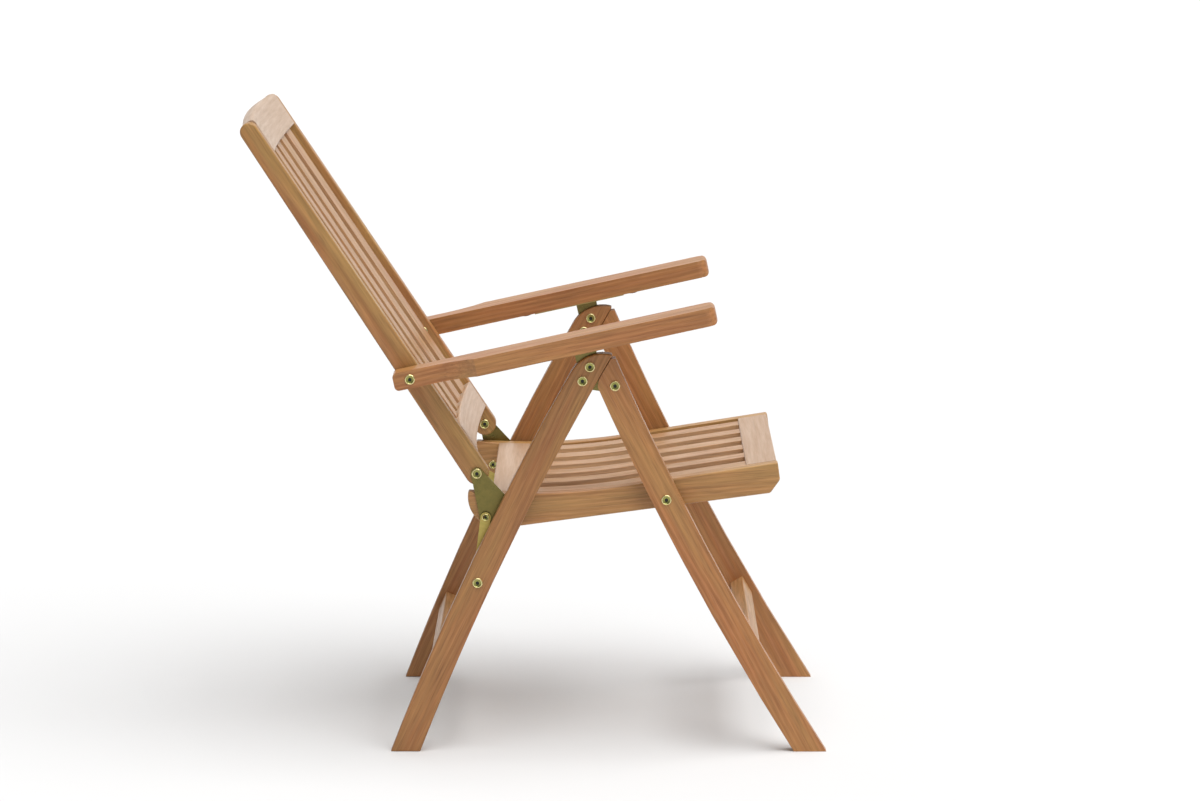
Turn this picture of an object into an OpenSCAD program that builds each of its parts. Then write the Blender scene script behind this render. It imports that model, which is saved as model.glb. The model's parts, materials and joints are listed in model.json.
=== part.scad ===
// Reclining folding armchair with slatted seat and back.
// Millimetres. +X forward, +Y to the sitter's left, +Z up. Origin on the floor, under the middle
// of the standing chair.

/* [Overall] */
// outer width across the two seat side rails
seat_width = 458; // [380:1:560]
// height of the pivot where front and rear legs meet
apex_height = 583; // [480:1:680]
// how far the rear feet stand behind the apex pivot, along the floor
rear_reach = 329; // [260:1:400]
// how far the front feet stand ahead of the apex pivot, along the floor
front_reach = 307; // [240:1:380]

/* [Legs] */
// width of each leg seen from the side
leg_width = 43; // [34:1:56]
// thickness of each leg, across the chair
leg_thick = 22; // [16:1:30]
// how far a leg bows out of straight
leg_bow = 13.5; // [6:0.5:22]
// distance of the rear leg's top behind the apex pivot
rear_top_back = 29; // [20:1:40]
// distance of the front leg's top behind the apex pivot
front_top_back = 16; // [10:1:22]
// depth of the stretcher boards, along the leg
stretcher_depth = 33; // [24:1:45]
// thickness of the stretcher boards
stretcher_thick = 24; // [16:1:30]
// height of the stretchers' middle above the floor
stretcher_height = 128; // [100:1:200]

/* [Seat] */
// height of the pivot between front leg and seat
seat_pivot_height = 403; // [340:1:470]
// seat length ahead of that pivot
seat_front = 178; // [140:1:220]
// seat length behind that pivot
seat_rear = 310; // [260:1:370]
// upward slope of the front of the seat, degrees
seat_rise = 9; // [4:0.5:14]
// radius of the dished rear part of the seat
seat_dish_radius = 1034; // [800:10:1400]
// thickness of the seat and back frame members, across the chair
frame_thick = 22; // [16:1:28]
// width of a seat slat
seat_slat_width = 35; // [28:1:42]
// thickness of a seat slat
seat_slat_thick = 13; // [9:1:18]
// seat front rail, front to back
front_rail_width = 47.5; // [35:0.5:60]

/* [Back] */
// backward lean of the back in the pose shown, degrees
back_lean = 33.1; // [20:0.1:42]
// length of a back stile above its lower pivot
back_length = 652; // [540:1:760]
// width of a back stile at its foot
stile_foot_width = 37.4; // [30:0.2:46]
// width of a back stile at its top
stile_top_width = 28.4; // [22:0.2:36]
// how deep the back is dished between the stiles
back_dish = 9; // [4:0.5:16]
// height of the top rail at its ends
top_rail_height = 62; // [48:1:80]
// rise of the top rail's arched upper edge
top_rail_arch = 6; // [2:0.5:12]
// height of the bottom rail
bottom_rail_height = 50; // [38:1:62]
// width of a back slat
back_slat_width = 45; // [34:1:52]
// thickness of a back slat
back_slat_thick = 12; // [8:1:16]

/* [Arms] */
// distance of the arm's pivot up the back from the back's lower pivot
arm_pivot_up = 186; // [150:1:220]
// armrest length ahead of its pivot
arm_front = 484; // [400:1:560]
// armrest thickness
arm_thick = 28; // [20:1:34]
// armrest width over most of its length
arm_width = 64; // [50:1:78]
// armrest width at its rear end
arm_rear_width = 40; // [32:1:48]
// spacing of the recline notches
notch_pitch = 22; // [16:1:26]

/* [Hardware] */
// radius of the pivot bolts
bolt_radius = 4; // [3:0.1:5]
// radius of the flanged bolt heads
head_radius = 8; // [6:0.1:10]
// thickness of the flanged bolt heads
head_thick = 2.2; // [1.4:0.1:3]
// thickness of the steel plates
plate_thick = 3; // [2:0.1:4]
// distance between a seat rail and the leg beside it
leg_gap = 8.5; // [8:0.1:12]
// height of the link's pivot on the rear leg
link_pivot_height = 271; // [230:1:320]
// distance of the link's upper pivot from the seat rail's rear end, with half a leg's width
link_reach = 49.5; // [44:0.5:56]
// distance of the link's upper pivot below the seat's pivot
link_drop = 32; // [26:0.5:38]

/* [Fits] */
// radial clearance of a turning bolt in its bore
turn_fit = 0.06; // [0.02:0.01:0.1]
// side clearance between parts that turn against each other
side_fit = 0.3; // [0.3:0.05:0.6]
// clearance where the front leg's head rests on the rear leg
stop_fit = 0.4; // [0.3:0.05:0.8]

/* [Hidden] */
$fn = 96;
long_arc = 1440;
eps = 0.01;
tenon = 6;

seat_half = seat_width / 2;
frame_in = seat_half - frame_thick;
stile_out = seat_half - side_fit;
bracket_thick = plate_thick - 0.5;
bracket_out = seat_half + bracket_thick;
leg_in = seat_half + leg_gap;
leg_out = leg_in + leg_thick;
leg_mid = (leg_in + leg_out) / 2;
link_out = leg_in - 0.7;
link_in = link_out - bracket_thick;
arm_in = seat_half + 3;

// points in the side plane are [forward, up], measured from below the apex pivot
apex = [0, apex_height];
rear_foot = [-rear_reach, 0];
rear_top = [-rear_top_back, apex_height + 47];
front_foot = [front_reach, 0];
front_top = [-front_top_back, apex_height + 27];

// a leg is a piece of a large ring: its radius and middle follow from its two ends and its bow
function unit(v) = v / norm(v);
function right_of(v) = [v.y, -v.x];
function bow_radius(a, b) = (pow(norm(b - a) / 2, 2) + leg_bow * leg_bow) / (2 * leg_bow);
function bow_centre(a, b) =
    (a + b) / 2 + right_of(unit(b - a)) * (bow_radius(a, b) - leg_bow);
function ring_x(c, r, z) = c.x - sqrt(r * r - pow(z - c.y, 2));
function ring_lean(c, z, r) = asin((c.y - z) / r);

rear_r = bow_radius(rear_foot, rear_top);
rear_c = bow_centre(rear_foot, rear_top);
front_r = bow_radius(front_foot, front_top);
front_c = bow_centre(front_foot, front_top);
function rear_x(z) = ring_x(rear_c, rear_r, z);
function front_x(z) = ring_x(front_c, front_r, z);
// lean of a leg's middle line from upright, positive when its top leans back
function rear_lean(z) = ring_lean(rear_c, z, rear_r);
function front_lean(z) = ring_lean(front_c, z, front_r);

seat_pivot = [front_x(seat_pivot_height), seat_pivot_height];
back_pivot = seat_pivot + [-(seat_rear - 14.5), 36.4];
link_top = seat_pivot + [link_reach - leg_width / 2 - seat_rear, -link_drop];
bracket_fix = seat_pivot + [-(seat_rear - 72), -26];
link_pivot = [rear_x(link_pivot_height), link_pivot_height];
arm_pivot = back_pivot + arm_pivot_up * [-sin(back_lean), cos(back_lean)];

// the armrest lies on the crest of the apex plates
arm_rest_point = apex + [-44, 57.4];
arm_span = norm(arm_rest_point - arm_pivot);
arm_tilt = atan2(arm_rest_point.y - arm_pivot.y, arm_rest_point.x - arm_pivot.x)
    + asin(arm_thick / 2 / arm_span);
crest_s = sqrt(arm_span * arm_span - arm_thick * arm_thick / 4);
notch_count = 5;
crest_depth = 10;
crest_gap = 3.5;
neck_length = 28;

// how far the front leg's head may reach behind the apex pivot as it swings past the rear leg
swing_reach = rear_r - leg_width / 2 - stop_fit - norm(apex - rear_c);
toward_rear = unit(apex - rear_c);

upper_bolt = [rear_x(apex_height + 29.7), apex_height + 29.7];
lower_bolt = [rear_x(apex_height + 7.5) + 1, apex_height + 7.5];

// shift that puts the origin under the middle of the standing chair
back_end = back_pivot.x - back_length * sin(back_lean) - stile_top_width * 0.3;
front_end = front_foot.x + leg_width / 2 / cos(front_lean(0));
shift = -(back_end + front_end) / 2;

teak = [0.72, 0.50, 0.31];
teak_light = [0.80, 0.60, 0.42];
brass = [0.80, 0.68, 0.36];

// ---- helpers ----

// places everything in the part's own frame
module place() {
    translate([shift, 0, 0]) children();
}

// side-plane shape made solid from y0 to y1
module across(y0, y1) {
    translate([0, y1, 0]) rotate([90, 0, 0]) linear_extrude(y1 - y0) children();
}

module both_sides() {
    children();
    mirror([0, 1, 0]) children();
}

module left_or_right(is_left) {
    if (is_left) children();
    else mirror([0, 1, 0]) children();
}

// round bar along Y at a side-plane point
module rod(p, r, y0, y1) {
    translate([p.x, y1, p.y]) rotate([90, 0, 0]) cylinder(r = r, h = y1 - y0);
}

// flanged head with a hexagon socket; it faces outward when out is true
module bolt_head(p, r, y, out) {
    difference() {
        rod(p, r, out ? y : y - head_thick, out ? y + head_thick : y);
        translate([p.x, out ? y + head_thick + eps : y - head_thick - eps, p.y])
            rotate([out ? 90 : -90, 0, 0]) cylinder(r = 2.9, h = 1.4, $fn = 6);
    }
}

// bolt with a head at each end; the heads sit outside y0 and y1
module bolt(p, y0, y1) {
    rod(p, bolt_radius, y0 - eps, y1 + eps);
    bolt_head(p, head_radius, y1, true);
    bolt_head(p, head_radius, y0, false);
}

module bore(p, y0, y1) {
    rod(p, bolt_radius + turn_fit, y0 - 1, y1 + 1);
}

// bar with round ends between two side-plane points
module bar_2d(a, b, r) {
    translate(a) circle(r = r);
    translate(b) circle(r = r);
    translate(a) rotate(atan2(b.y - a.y, b.x - a.x)) translate([0, -r])
        square([norm(b - a), 2 * r]);
}

// plate with three round corners; the points run anticlockwise
module rounded_triangle_2d(a, b, c, r) {
    ab = r * right_of(unit(b - a));
    bc = r * right_of(unit(c - b));
    ca = r * right_of(unit(a - c));
    for (p = [a, b, c]) translate(p) circle(r = r);
    polygon([a + ab, b + ab, b + bc, c + bc, c + ca, a + ca]);
}

// ---- legs ----

module leg_ring_2d(c, r, top) {
    intersection() {
        difference() {
            translate(c) circle(r = r + leg_width / 2, $fn = long_arc);
            translate(c) circle(r = r - leg_width / 2, $fn = long_arc);
        }
        translate([-2 * rear_reach, 0]) square([2 * (rear_reach + front_reach), top]);
    }
}

// domed head of the rear leg: everything below a square cut, and a circle that meets its rear edge
module rear_head_2d() {
    z = apex_height + 11.6;
    dome = 56;
    translate([rear_x(z), z]) rotate(rear_lean(z))
        translate([dome - leg_width / 2, 0]) {
            circle(r = dome);
            translate([-3 * dome, -2 * apex_height]) square([6 * dome, 2 * apex_height]);
        }
}

module rear_leg_2d() {
    intersection() {
        leg_ring_2d(rear_c, rear_r, apex_height + 80);
        rear_head_2d();
    }
}

// head of the front leg: cut along the rear leg, with the lower corner rounded to swing past it
module front_leg_2d() {
    far = 2 * leg_width;
    difference() {
        intersection() {
            leg_ring_2d(front_c, front_r, apex_height + 60);
            translate(rear_c) circle(r = rear_r - leg_width / 2 - stop_fit, $fn = long_arc);
            union() {
                translate(apex) circle(r = leg_width);
                translate([-2 * rear_reach, 0])
                    square([2 * (rear_reach + front_reach), apex_height]);
            }
        }
        translate(apex) rotate(atan2(toward_rear.y, toward_rear.x)) difference() {
            polygon([[0, 0], [far, 0], [far, far]]);
            circle(r = swing_reach);
        }
    }
}

// saw kerf in a leg's head, where the apex plate sits
module kerf(p, lean, below, gap) {
    half = plate_thick / 2 + gap;
    across(leg_mid - half, leg_mid + half)
        translate(p) rotate(lean) translate([-2 * leg_width, -below])
            square([4 * leg_width, 4 * leg_width]);
}

module rear_leg(is_left) {
    color(teak) place() left_or_right(is_left) difference() {
        across(leg_in, leg_out) rear_leg_2d();
        kerf(lower_bolt, rear_lean(lower_bolt.y), 30, 0);
        bore(upper_bolt, leg_in, leg_out);
        bore(lower_bolt, leg_in, leg_out);
        bore(link_pivot, leg_in, leg_out);
    }
}

module front_leg(is_left) {
    color(teak) place() left_or_right(is_left) difference() {
        across(leg_in, leg_out) front_leg_2d();
        kerf(apex, front_lean(apex.y), 32, side_fit);
        bore(apex, leg_in, leg_out);
        bore(seat_pivot, leg_in, leg_out);
    }
}

module stretcher(p, lean) {
    color(teak_light) place() across(-leg_in, leg_in)
        translate(p) rotate(lean)
            square([stretcher_thick, stretcher_depth], center = true);
}

module rear_stretcher() {
    stretcher([rear_x(stretcher_height), stretcher_height], rear_lean(stretcher_height));
}

module front_stretcher() {
    z = stretcher_height + 26;
    stretcher([front_x(z), z], front_lean(z));
}

// plate in the leg heads; its neck reaches up through the armrest's rack
module apex_plate_2d() {
    rounded_triangle_2d(upper_bolt, lower_bolt, apex, 13);
    translate(arm_pivot) rotate(arm_tilt) translate([crest_s, -arm_thick / 2])
        intersection() {
            translate([-neck_length / 2 - 6, -32])
                square([neck_length + 6, 32 + crest_depth]);
            translate([-neck_length / 2, -30]) circle(r = neck_length + 14);
        }
}

module apex_plate(is_left) {
    half = plate_thick / 2;
    color(brass) place() left_or_right(is_left) difference() {
        across(leg_mid - half, leg_mid + half) apex_plate_2d();
        bore(upper_bolt, leg_in, leg_out);
        bore(lower_bolt, leg_in, leg_out);
        bore(apex, leg_in, leg_out);
    }
}

module apex_bolts() {
    color(brass) place() both_sides() {
        bolt(upper_bolt, leg_in, leg_out);
        bolt(lower_bolt, leg_in, leg_out);
    }
}

module fold_bolts() {
    color(brass) place() both_sides() bolt(apex, leg_in, leg_out);
}

module link_pivot_bolts() {
    head_in = link_in - side_fit;
    color(brass) place() both_sides() {
        rod(link_pivot, bolt_radius, head_in - 1, leg_out + eps);
        bolt_head(link_pivot, head_radius, leg_out, true);
        rod(link_pivot, head_radius - 1, bracket_out + side_fit, head_in);
    }
}

module seat_pivot_bolts() {
    color(brass) place() both_sides() {
        bolt(seat_pivot, frame_in - side_fit, leg_out);
        difference() {
            rod(seat_pivot, head_radius + 1, seat_half + side_fit, leg_in);
            rod(seat_pivot, bolt_radius - 0.5, seat_half, leg_in + 1);
        }
    }
}

// ---- seat ----

// everything below the seat's top line; the rear part is dished
module below_seat_top_2d(drop) {
    knee = [-60.5, 16.5 - drop];
    far = seat_front + 60;
    rise = tan(seat_rise);
    difference() {
        translate(seat_pivot) polygon([
            [-seat_rear - 40, -90],
            [far, -90],
            [far, knee.y + (far - knee.x) * rise],
            knee,
            [knee.x, knee.y + 90],
            [-seat_rear - 40, knee.y + 90]
        ]);
        translate(seat_pivot + knee + seat_dish_radius * [-sin(seat_rise), cos(seat_rise)])
            circle(r = seat_dish_radius, $fn = long_arc);
    }
}

// seat side rail: rounded at the rear, cut back under its nose
module seat_rail_2d() {
    tail = 49.7;
    slope = tan(7.6);
    tail_x = -seat_rear + tail;
    intersection() {
        below_seat_top_2d(0);
        translate(seat_pivot) union() {
            translate([tail_x, -1.5]) circle(r = tail);
            polygon([
                [tail_x + tail * sin(7.6), -1.5 - tail * cos(7.6)],
                [seat_front - 15, -1.5 - tail / cos(7.6) + (seat_front - 15 - tail_x) * slope],
                [seat_front, 26],
                [seat_front - 6, 70],
                [tail_x, 70]
            ]);
        }
    }
}

function slat_y(i) = -frame_in + 2 * frame_in * (i - 0.5) / 6
    + (i - 3.5) * (frame_thick - 7) / 6;

// seat strip between two distances from the seat pivot, with its top at the seat's surface
module seat_strip_2d(x0, x1, drop, thick) {
    intersection() {
        difference() {
            below_seat_top_2d(drop);
            below_seat_top_2d(drop + thick);
        }
        translate(seat_pivot + [x0, -90]) square([x1 - x0, 200]);
    }
}

rear_rail_x0 = -seat_rear + 38;
rear_rail_x1 = rear_rail_x0 + 52;
front_rail_x0 = seat_front - 5 - front_rail_width;

module seat_slat_body(i) {
    across(slat_y(i) - seat_slat_width / 2, slat_y(i) + seat_slat_width / 2)
        seat_strip_2d(rear_rail_x1 - tenon, front_rail_x0 + tenon, 2.5, seat_slat_thick);
}

module seat_slats_all() {
    for (i = [1:6]) seat_slat_body(i);
}

module seat_slat(i) {
    color(teak_light) place() seat_slat_body(i);
}

module seat_rail(is_left) {
    color(teak) place() left_or_right(is_left) difference() {
        across(frame_in, seat_half) seat_rail_2d();
        bore(seat_pivot, frame_in, seat_half);
        bore(link_top, frame_in, seat_half);
        rod(bracket_fix, 2.5, seat_half - 14, seat_half + 1);
    }
}

module seat_front_rail() {
    color(teak_light) place() difference() {
        across(-frame_in, frame_in)
            seat_strip_2d(front_rail_x0, front_rail_x0 + front_rail_width, 0, 22);
        seat_slats_all();
    }
}

module seat_rear_rail() {
    color(teak_light) place() difference() {
        across(-frame_in, frame_in) seat_strip_2d(rear_rail_x0, rear_rail_x1, 0, 22);
        seat_slats_all();
    }
}

// steel bracket that carries the back's pivot above the seat rail
module bracket(is_left) {
    over = 0.5;
    taper = 2.5 / bracket_thick;
    color(brass) place() left_or_right(is_left) difference() {
        across(seat_half, bracket_out)
            rounded_triangle_2d(back_pivot, link_top, bracket_fix, 9.5);
        bore(back_pivot, seat_half, bracket_out);
        rod(link_top, bolt_radius, seat_half - 1, bracket_out + 1);
        translate([bracket_fix.x, bracket_out + over, bracket_fix.y]) rotate([90, 0, 0])
            cylinder(r1 = 5 + over * taper, r2 = 2.5 - over * taper,
                h = bracket_thick + 2 * over);
    }
}

module screw_body() {
    translate([bracket_fix.x, bracket_out, bracket_fix.y]) rotate([90, 0, 0])
        cylinder(r1 = 5, r2 = 2.5, h = bracket_thick);
    rod(bracket_fix, 2.5, seat_half - 14, seat_half + eps);
}

// fixing bolt at the link's upper pivot, flush with the bracket outside
module bracket_stud_body() {
    rod(link_top, bolt_radius, frame_in - eps, bracket_out);
}

module bracket_screws() {
    color(brass) place() both_sides() {
        screw_body();
        bracket_stud_body();
        bolt_head(link_top, head_radius - 1, frame_in, false);
    }
}

module back_pivot_bolts() {
    color(brass) place() both_sides()
        bolt(back_pivot, frame_in - side_fit, bracket_out + side_fit);
}

// ---- link ----

module link(is_left) {
    color(brass) place() left_or_right(is_left) difference() {
        across(link_in, link_out) bar_2d(link_top, link_pivot, 8);
        bore(link_pivot, link_in, link_out);
        rod(link_top, bolt_radius, link_in - 1, link_out + 1);
    }
}

module link_studs() {
    color(brass) place() both_sides() {
        rod(link_top, bolt_radius, link_in, link_out + eps);
        bolt_head(link_top, 6, link_out, true);
    }
}

// ---- back, drawn upright at its lower pivot, then leaned back ----

module lean_back() {
    translate([back_pivot.x, 0, back_pivot.y]) rotate([0, -back_lean, 0]) children();
}

top_rail_v = back_length - top_rail_height;
bottom_rail_v = 24;
bottom_rail_top = bottom_rail_v + bottom_rail_height;
function stile_half(v) =
    (stile_foot_width + (stile_top_width - stile_foot_width) * v / back_length) / 2;
dish_r = (frame_in * frame_in + back_dish * back_dish) / (2 * back_dish);
rail_deep = 22;
slat_in = 5;

module stile_2d() {
    r0 = stile_foot_width / 2;
    r1 = stile_top_width / 2;
    lean = asin((r0 - r1) / (back_length - r1));
    translate([0, 0]) circle(r = r0);
    translate([0, back_length - r1]) circle(r = r1);
    polygon([
        [r0 * cos(lean), r0 * sin(lean)],
        [r1 * cos(lean), back_length - r1 + r1 * sin(lean)],
        [-r1 * cos(lean), back_length - r1 + r1 * sin(lean)],
        [-r0 * cos(lean), r0 * sin(lean)]
    ]);
}

module back_stile(is_left) {
    color(teak) place() left_or_right(is_left) difference() {
        lean_back() across(frame_in, stile_out) stile_2d();
        bore(back_pivot, frame_in, stile_out);
        bore(arm_pivot, frame_in, stile_out);
    }
}

// curved board seen from above: its hollow front face is front ahead of the stiles' middle
module dished_2d(front, deep) {
    intersection() {
        translate([front - back_dish + dish_r, 0]) difference() {
            circle(r = dish_r + deep, $fn = long_arc);
            circle(r = dish_r, $fn = long_arc);
        }
        translate([-100, -frame_in]) square([200, 2 * frame_in]);
    }
}

function back_slat_y(i) = (i - 3) * (2 * frame_in + back_slat_width) / 6;

// slat set on the dish, from one rail into the other
module back_slat_body(i) {
    y = back_slat_y(i);
    v0 = bottom_rail_top - tenon;
    v1 = top_rail_v + tenon;
    fall = atan2(stile_half(v0) - stile_half(v1), v1 - v0);
    front = stile_half(v0) - slat_in - back_dish + y * y / (2 * dish_r);
    translate([front, y, v0]) rotate([0, -fall, 0]) rotate([0, 0, -asin(y / dish_r)])
        translate([-back_slat_thick, -back_slat_width / 2, 0])
            cube([back_slat_thick, back_slat_width, v1 - v0]);
}

module back_slats_all() {
    for (i = [1:5]) back_slat_body(i);
}

module back_slat(i) {
    color(teak_light) place() lean_back() back_slat_body(i);
}

module back_top_rail() {
    arch_r = (frame_in * frame_in + top_rail_arch * top_rail_arch) / (2 * top_rail_arch);
    crown = back_length - 0.5 + top_rail_arch;
    color(teak_light) place() lean_back() difference() {
        intersection() {
            translate([0, 0, top_rail_v]) linear_extrude(top_rail_height + 20)
                dished_2d(stile_half(back_length - top_rail_height / 2), rail_deep);
            translate([-100, 0, crown - arch_r]) rotate([0, 90, 0])
                cylinder(r = arch_r, h = 200, $fn = long_arc);
        }
        back_slats_all();
    }
}

module back_bottom_rail() {
    color(teak_light) place() lean_back() difference() {
        translate([0, 0, bottom_rail_v]) linear_extrude(bottom_rail_height)
            dished_2d(stile_half(bottom_rail_top / 2), rail_deep);
        back_slats_all();
    }
}

module arm_pivot_bolts() {
    color(brass) place() both_sides() {
        bolt(arm_pivot, frame_in - side_fit, arm_in + arm_rear_width + side_fit);
        difference() {
            rod(arm_pivot, head_radius + 1, stile_out + side_fit, arm_in - side_fit);
            rod(arm_pivot, bolt_radius - 0.5, stile_out, arm_in);
        }
    }
}

// ---- arms, drawn level from their rear pivot, then tilted ----

module tilt_arm() {
    translate([arm_pivot.x, 0, arm_pivot.y]) rotate([0, -arm_tilt, 0]) children();
}

arm_tail = 26;
rack_s0 = crest_s - 3 * notch_pitch - 24;
rack_s1 = crest_s + notch_pitch + 39;
groove_s0 = rack_s0 + 1;
groove_s1 = rack_s1 - 3;
rack_proud = 1.5;
rack_deep = 16;

// plan of the armrest: narrow beside the back, then swelling outward
module arm_plan_2d() {
    sweep = 110;
    corner = 18;
    y0 = arm_in;
    y1 = arm_in + arm_width;
    difference() {
        union() {
            translate([-arm_tail, y0]) square([arm_tail + arm_front - corner, arm_width]);
            translate([arm_front - 2 * corner, y0 + corner])
                square([2 * corner, arm_width - 2 * corner]);
            translate([arm_front - corner, y0 + corner]) circle(r = corner);
            translate([arm_front - corner, y1 - corner]) circle(r = corner);
        }
        translate([36, y0 + arm_rear_width + sweep]) circle(r = sweep);
        translate([-arm_tail - 1, y0 + arm_rear_width]) square([arm_tail + 37, arm_width]);
    }
}

// side view of the armrest, with eased ends
module arm_side_2d() {
    r = 7;
    h = arm_thick / 2;
    translate([-arm_tail + r, -h]) square([arm_tail + arm_front - 2 * r, arm_thick]);
    translate([-arm_tail, -h + r]) square([arm_tail + arm_front, arm_thick - 2 * r]);
    for (x = [-arm_tail + r, arm_front - r], z = [-h + r, h - r])
        translate([x, z]) circle(r = r);
}

module armrest(is_left) {
    color(teak) place() left_or_right(is_left) difference() {
        tilt_arm() difference() {
            intersection() {
                translate([0, 0, -arm_thick]) linear_extrude(2 * arm_thick) arm_plan_2d();
                across(arm_in - 1, arm_in + arm_width + 1) arm_side_2d();
            }
            translate([groove_s0 - 3, leg_mid - 5, -arm_thick / 2 - 1])
                cube([groove_s1 - groove_s0 + 6, 10, rack_deep + 1]);
        }
        bore(arm_pivot, arm_in, arm_in + arm_width);
    }
}

// steel rack under the armrest: a slotted strip with a notched web above the slot
module rack(is_left) {
    under = -arm_thick / 2;
    color(brass) place() left_or_right(is_left) tilt_arm() {
        difference() {
            union() {
                translate([rack_s0, leg_mid - 15, under - rack_proud])
                    cube([rack_s1 - rack_s0, 30, rack_proud]);
                translate([groove_s0 - 3, leg_mid - 5, under - eps])
                    cube([groove_s1 - groove_s0 + 6, 10, rack_deep]);
            }
            translate([groove_s0, leg_mid - 3, under - rack_proud - 1])
                cube([groove_s1 - groove_s0, 6, rack_proud + 1 + crest_depth + crest_gap]);
            for (k = [0:notch_count - 1])
                translate([crest_s + (k - 3) * notch_pitch, leg_mid,
                    under + crest_depth + crest_gap - 1])
                    rotate([90, 0, 0]) cylinder(r = 4, h = 6, center = true);
        }
    }
}

// low lens-shaped pads beyond each end of the rack
module rack_pads() {
    under = -arm_thick / 2;
    color(teak) place() both_sides() tilt_arm()
        for (s = [rack_s0 - 13.5, rack_s1 + 16.5])
            intersection() {
                translate([s - 12, leg_mid - 9, under - 3]) cube([24, 18, 3]);
                translate([s, leg_mid + 9, under + 21.6]) rotate([90, 0, 0])
                    cylinder(r = 23.8, h = 18);
            }
}

rear_leg(true);  // rear_leg_left
rear_leg(false);  // rear_leg_right
rear_stretcher();
apex_plate(true);  // apex_plate_left
apex_plate(false);  // apex_plate_right
apex_bolts();
link_pivot_bolts();
front_leg(true);  // front_leg_left
front_leg(false);  // front_leg_right
front_stretcher();
fold_bolts();
seat_pivot_bolts();
seat_rail(true);  // seat_rail_left
seat_rail(false);  // seat_rail_right
seat_front_rail();
seat_rear_rail();
seat_slat(1);  // seat_slat_1
seat_slat(2);  // seat_slat_2
seat_slat(3);  // seat_slat_3
seat_slat(4);  // seat_slat_4
seat_slat(5);  // seat_slat_5
seat_slat(6);  // seat_slat_6
bracket(true);  // bracket_left
bracket(false);  // bracket_right
bracket_screws();
back_pivot_bolts();
back_stile(true);  // back_stile_left
back_stile(false);  // back_stile_right
back_top_rail();
back_bottom_rail();
back_slat(1);  // back_slat_1
back_slat(2);  // back_slat_2
back_slat(3);  // back_slat_3
back_slat(4);  // back_slat_4
back_slat(5);  // back_slat_5
arm_pivot_bolts();
armrest(true);  // armrest_left
armrest(false);  // armrest_right
rack(true);  // rack_left
rack(false);  // rack_right
rack_pads();
link(true);  // link_left
link(false);  // link_right
link_studs();
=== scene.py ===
"""Looks of a reclining folding armchair in oiled teak with yellow-passivated steel hardware.

Each wooden member and each flat plate is shaped from its solid and gets eased edges, the fasteners are
modelled anew, and every piece is dressed in a finish whose pattern runs with its own grain.
"""

import json
import logging
import math
from dataclasses import dataclass, field
from enum import Enum
from typing import Any, Callable, Optional

import bmesh
import bpy
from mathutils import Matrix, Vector

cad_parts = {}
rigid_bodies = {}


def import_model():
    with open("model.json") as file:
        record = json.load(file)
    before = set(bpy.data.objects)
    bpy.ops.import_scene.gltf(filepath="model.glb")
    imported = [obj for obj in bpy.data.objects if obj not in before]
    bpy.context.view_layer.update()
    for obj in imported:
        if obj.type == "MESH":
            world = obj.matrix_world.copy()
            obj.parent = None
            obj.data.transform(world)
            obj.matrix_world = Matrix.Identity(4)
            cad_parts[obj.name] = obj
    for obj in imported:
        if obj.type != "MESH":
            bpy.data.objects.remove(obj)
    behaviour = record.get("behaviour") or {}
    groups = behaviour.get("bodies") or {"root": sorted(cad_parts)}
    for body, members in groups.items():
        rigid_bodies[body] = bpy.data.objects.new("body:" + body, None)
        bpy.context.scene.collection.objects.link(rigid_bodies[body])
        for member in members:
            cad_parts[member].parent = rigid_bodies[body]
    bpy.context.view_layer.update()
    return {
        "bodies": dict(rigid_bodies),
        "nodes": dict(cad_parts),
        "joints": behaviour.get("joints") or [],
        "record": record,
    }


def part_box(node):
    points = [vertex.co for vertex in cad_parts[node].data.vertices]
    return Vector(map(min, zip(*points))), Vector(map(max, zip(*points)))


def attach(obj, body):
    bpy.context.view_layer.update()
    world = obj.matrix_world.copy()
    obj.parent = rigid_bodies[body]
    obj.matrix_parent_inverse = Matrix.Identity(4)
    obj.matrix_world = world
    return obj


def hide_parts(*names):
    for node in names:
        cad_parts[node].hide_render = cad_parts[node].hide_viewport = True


LOG = logging.getLogger("armchair")
MM = 0.001

# layers across the chair, as distances from its middle in millimetres
PIVOT_BOLT_IN = 206.7
RAIL_IN = 207.0
STILE_COLLAR = 229.0
RAIL_COLLAR = 229.3
BRACKET_OUT = 231.5
BACK_HEAD = 231.8
ARM_COLLAR_END = 231.7
LINK_PIVOT_IN = 234.0
STUD_IN, STUD_OUT = 234.3, 236.8
LEG_IN, LEG_OUT = 237.5, 259.5

# an edge this close to a bore's axis, or to the middle of a leg's thickness, stays crisp
BORE_CLEAR_MM = 7.5
KERF_CLEAR_MM = 5.5

# an edge between faces that meet at more than this is eased, and one at more than the other is drawn hard
SHARP_DEG = 28
SMOOTH_DEG = 34


class Side(Enum):
    """Which side of the chair a mirrored piece stands on."""

    LEFT = 1
    RIGHT = -1


class Run(Enum):
    """Which way the grain of a member runs, as its slope in the side plane, or across the chair."""

    REAR_LEG = 64.5
    FRONT_LEG = 117.9
    SEAT = 5.0
    BACK = 123.1
    ARM = 12.2
    ACROSS = None


def linear(hex_colour: str) -> tuple[float, float, float, float]:
    """Turns an sRGB hex colour into the linear colour that a shader reads.

    Args:
        hex_colour: Six hex digits, such as "AE7E56".

    Returns:
        Linear red, green, blue and an alpha of 1.
    """
    parts = [int(hex_colour[i : i + 2], 16) / 255 for i in (0, 2, 4)]
    flat = [c / 12.92 if c <= 0.04045 else ((c + 0.055) / 1.055) ** 2.4 for c in parts]
    return (flat[0], flat[1], flat[2], 1.0)


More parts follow.
